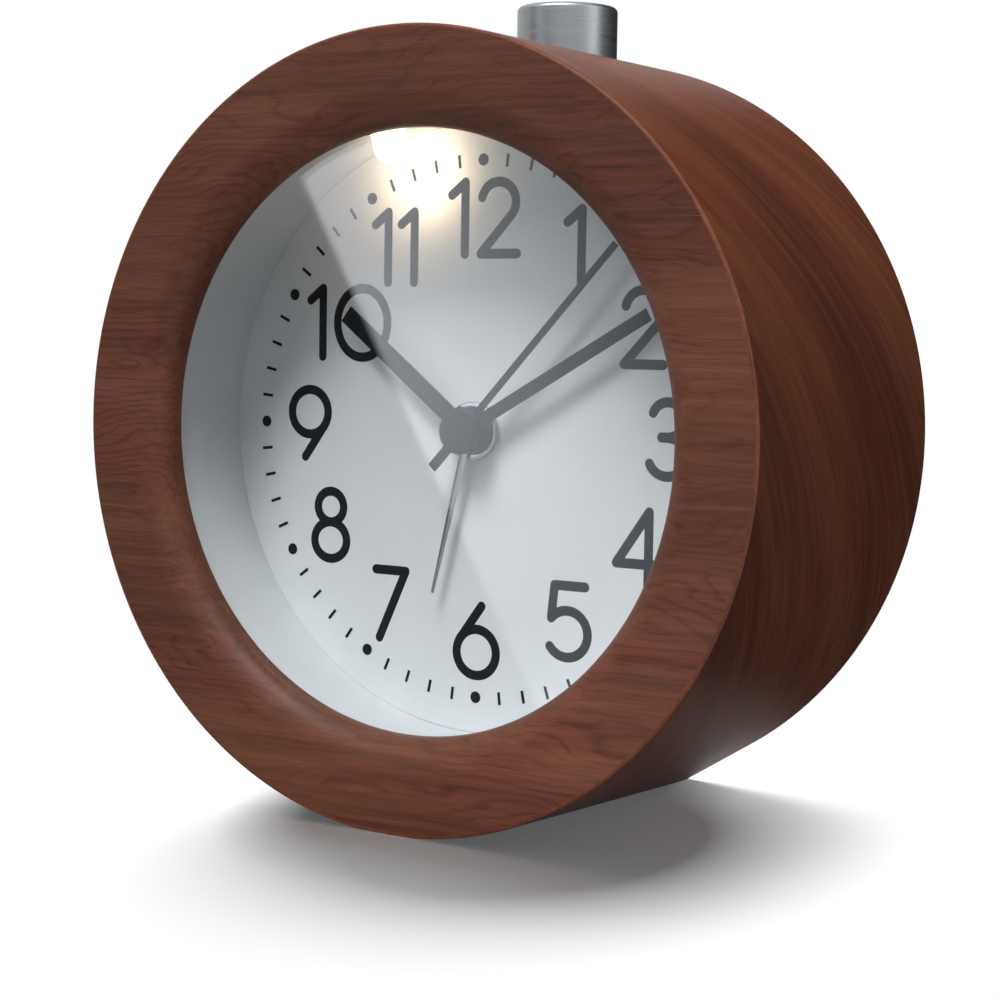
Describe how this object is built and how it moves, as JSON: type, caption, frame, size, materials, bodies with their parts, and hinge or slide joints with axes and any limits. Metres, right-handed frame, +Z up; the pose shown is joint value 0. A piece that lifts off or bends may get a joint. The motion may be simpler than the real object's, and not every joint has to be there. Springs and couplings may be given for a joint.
{
  "type": "analogue alarm clock",
  "caption": "Round wooden alarm clock with deep white dial, black hands, bright alarm hand, dial lamp, press button on top and battery movement behind.",
  "frame": {"origin": "middle of the flat foot under the case, on the surface that the clock stands on", "axes": "+Z up, -Y the way the dial faces, +X to the right as seen from the front; the clock's own axis leans 1.5 degrees back"},
  "size_m": [0.1098, 0.0558, 0.1163],
  "materials": {
    "wood": "dark reddish brown open-grained wood, satin lacquer",
    "clear_lens": "clear flat lens",
    "white_shell": "white moulded plastic, soft gloss",
    "dial_face": "matt white dial with printed numbers",
    "lamp_dome": "clear warm diode dome, lit",
    "bright_steel": "bright plated steel",
    "black_hand": "matt black paint",
    "black_plastic": "black moulded plastic, fine texture",
    "gear_plastic": "natural moulded acetal",
    "pinion_brass": "turned brass",
    "coil_copper": "enamelled copper wire",
    "cell_jacket": "plain dark cell jacket",
    "board_green": "green lacquered board",
    "brushed_button": "brushed aluminium"
  },
  "bodies": {
    "case": {"wood_case": "wood", "lens": "clear_lens", "dial_drum": "white_shell", "dial": "dial_face", "lamp": "lamp_dome", "shaft_nut": "bright_steel", "movement_front": "black_plastic", "movement_back": "black_plastic", "middle_plate": "white_shell", "stator": "bright_steel", "coil": "coil_copper", "rear_cover": "black_plastic", "battery": "cell_jacket", "contact_plate": "bright_steel", "contact_spring": "bright_steel", "slide_switch": "bright_steel", "buzzer": "black_plastic", "cover_screw_1": "bright_steel", "cover_screw_2": "bright_steel", "cover_screw_3": "bright_steel", "cover_screw_4": "bright_steel", "circuit_board": "board_green", "crystal_can": "bright_steel", "push_switch": "black_plastic", "button_bush": "black_plastic", "button_spring": "bright_steel"},
    "seconds": {"second_hand": "black_hand", "second_wheel": "gear_plastic"},
    "third": {"third_wheel": "gear_plastic"},
    "centre": {"centre_wheel": "gear_plastic"},
    "intermediate": {"intermediate_wheel": "gear_plastic"},
    "rotor_body": {"rotor": "gear_plastic"},
    "minutes": {"minute_hand": "black_hand", "cannon_pinion": "pinion_brass"},
    "motion": {"motion_wheel": "gear_plastic"},
    "hours": {"hour_hand": "black_hand", "hour_wheel": "gear_plastic"},
    "time_setting": {"time_set_arbor": "gear_plastic", "time_set_knob": "black_plastic"},
    "alarm": {"alarm_hand": "bright_steel", "alarm_wheel": "gear_plastic"},
    "alarm_setting": {"alarm_set_arbor": "gear_plastic", "alarm_set_knob": "black_plastic"},
    "button": {"snooze_button": "brushed_button", "button_plunger": "white_shell", "button_clip": "bright_steel"},
    "slider": {"alarm_slider": "white_shell"},
    "door": {"battery_door": "black_plastic"}
  },
  "joints": [
    {"name": "second_turn", "type": "hinge", "parent": "case", "child": "seconds", "pos_m": [0, -0.00408, 0.05423], "axis": [0, 0.9997, -0.0262], "continuous": true},
    {"name": "third_turn", "type": "hinge", "parent": "case", "child": "third", "pos_m": [-0.00612, -0.0038, 0.06483], "axis": [0, 0.9997, -0.0262], "continuous": true},
    {"name": "centre_turn", "type": "hinge", "parent": "case", "child": "centre", "pos_m": [0, -0.00408, 0.05423], "axis": [0, 0.9997, -0.0262], "continuous": true},
    {"name": "intermediate_turn", "type": "hinge", "parent": "case", "child": "intermediate", "pos_m": [0.00677, -0.00402, 0.05669], "axis": [0, 0.9997, -0.0262], "continuous": true},
    {"name": "rotor_turn", "type": "hinge", "parent": "case", "child": "rotor_body", "pos_m": [0.01108, -0.00388, 0.06184], "axis": [0, 0.9997, -0.0262], "continuous": true},
    {"name": "minute_turn", "type": "hinge", "parent": "case", "child": "minutes", "pos_m": [0, -0.00408, 0.05423], "axis": [0, 0.9997, -0.0262], "continuous": true},
    {"name": "motion_turn", "type": "hinge", "parent": "case", "child": "motion", "pos_m": [-0.00846, -0.00416, 0.05115], "axis": [0, 0.9997, -0.0262], "continuous": true},
    {"name": "hour_turn", "type": "hinge", "parent": "case", "child": "hours", "pos_m": [0, -0.00408, 0.05423], "axis": [0, 0.9997, -0.0262], "continuous": true},
    {"name": "time_set_turn", "type": "hinge", "parent": "case", "child": "time_setting", "pos_m": [-0.01583, -0.0043, 0.04599], "axis": [0, 0.9997, -0.0262], "continuous": true},
    {"name": "alarm_turn", "type": "hinge", "parent": "case", "child": "alarm", "pos_m": [0, -0.00408, 0.05423], "axis": [0, 0.9997, -0.0262], "continuous": true},
    {"name": "alarm_set_turn", "type": "hinge", "parent": "case", "child": "alarm_setting", "pos_m": [0.01032, -0.00427, 0.04701], "axis": [0, 0.9997, -0.0262], "continuous": true},
    {"name": "snooze_press", "type": "slide", "parent": "case", "child": "button", "axis": [0, -0.0262, -0.9997], "range_m": [0, 0.0015], "stiffness_N_per_m": 600, "springref_m": -0.0005, "deforming": ["button_spring"]},
    {"name": "alarm_slide", "type": "slide", "parent": "case", "child": "slider", "axis": [1, 0, 0], "range_m": [0, 0.004]},
    {"name": "battery_door_lift", "type": "slide", "parent": "case", "child": "door", "axis": [0, 0.9997, -0.0262], "range_m": [0, 0.015]}
  ],
  "couplings": [
    {"joint": "third_turn", "follows": "second_turn", "ratio": -0.13333},
    {"joint": "centre_turn", "follows": "second_turn", "ratio": 0.016667},
    {"joint": "intermediate_turn", "follows": "second_turn", "ratio": -5},
    {"joint": "rotor_turn", "follows": "second_turn", "ratio": 30},
    {"joint": "motion_turn", "follows": "minute_turn", "ratio": -0.33333},
    {"joint": "hour_turn", "follows": "minute_turn", "ratio": 0.083333},
    {"joint": "time_set_turn", "follows": "minute_turn", "ratio": 1},
    {"joint": "alarm_set_turn", "follows": "alarm_turn", "ratio": -1.3333}
  ]
}
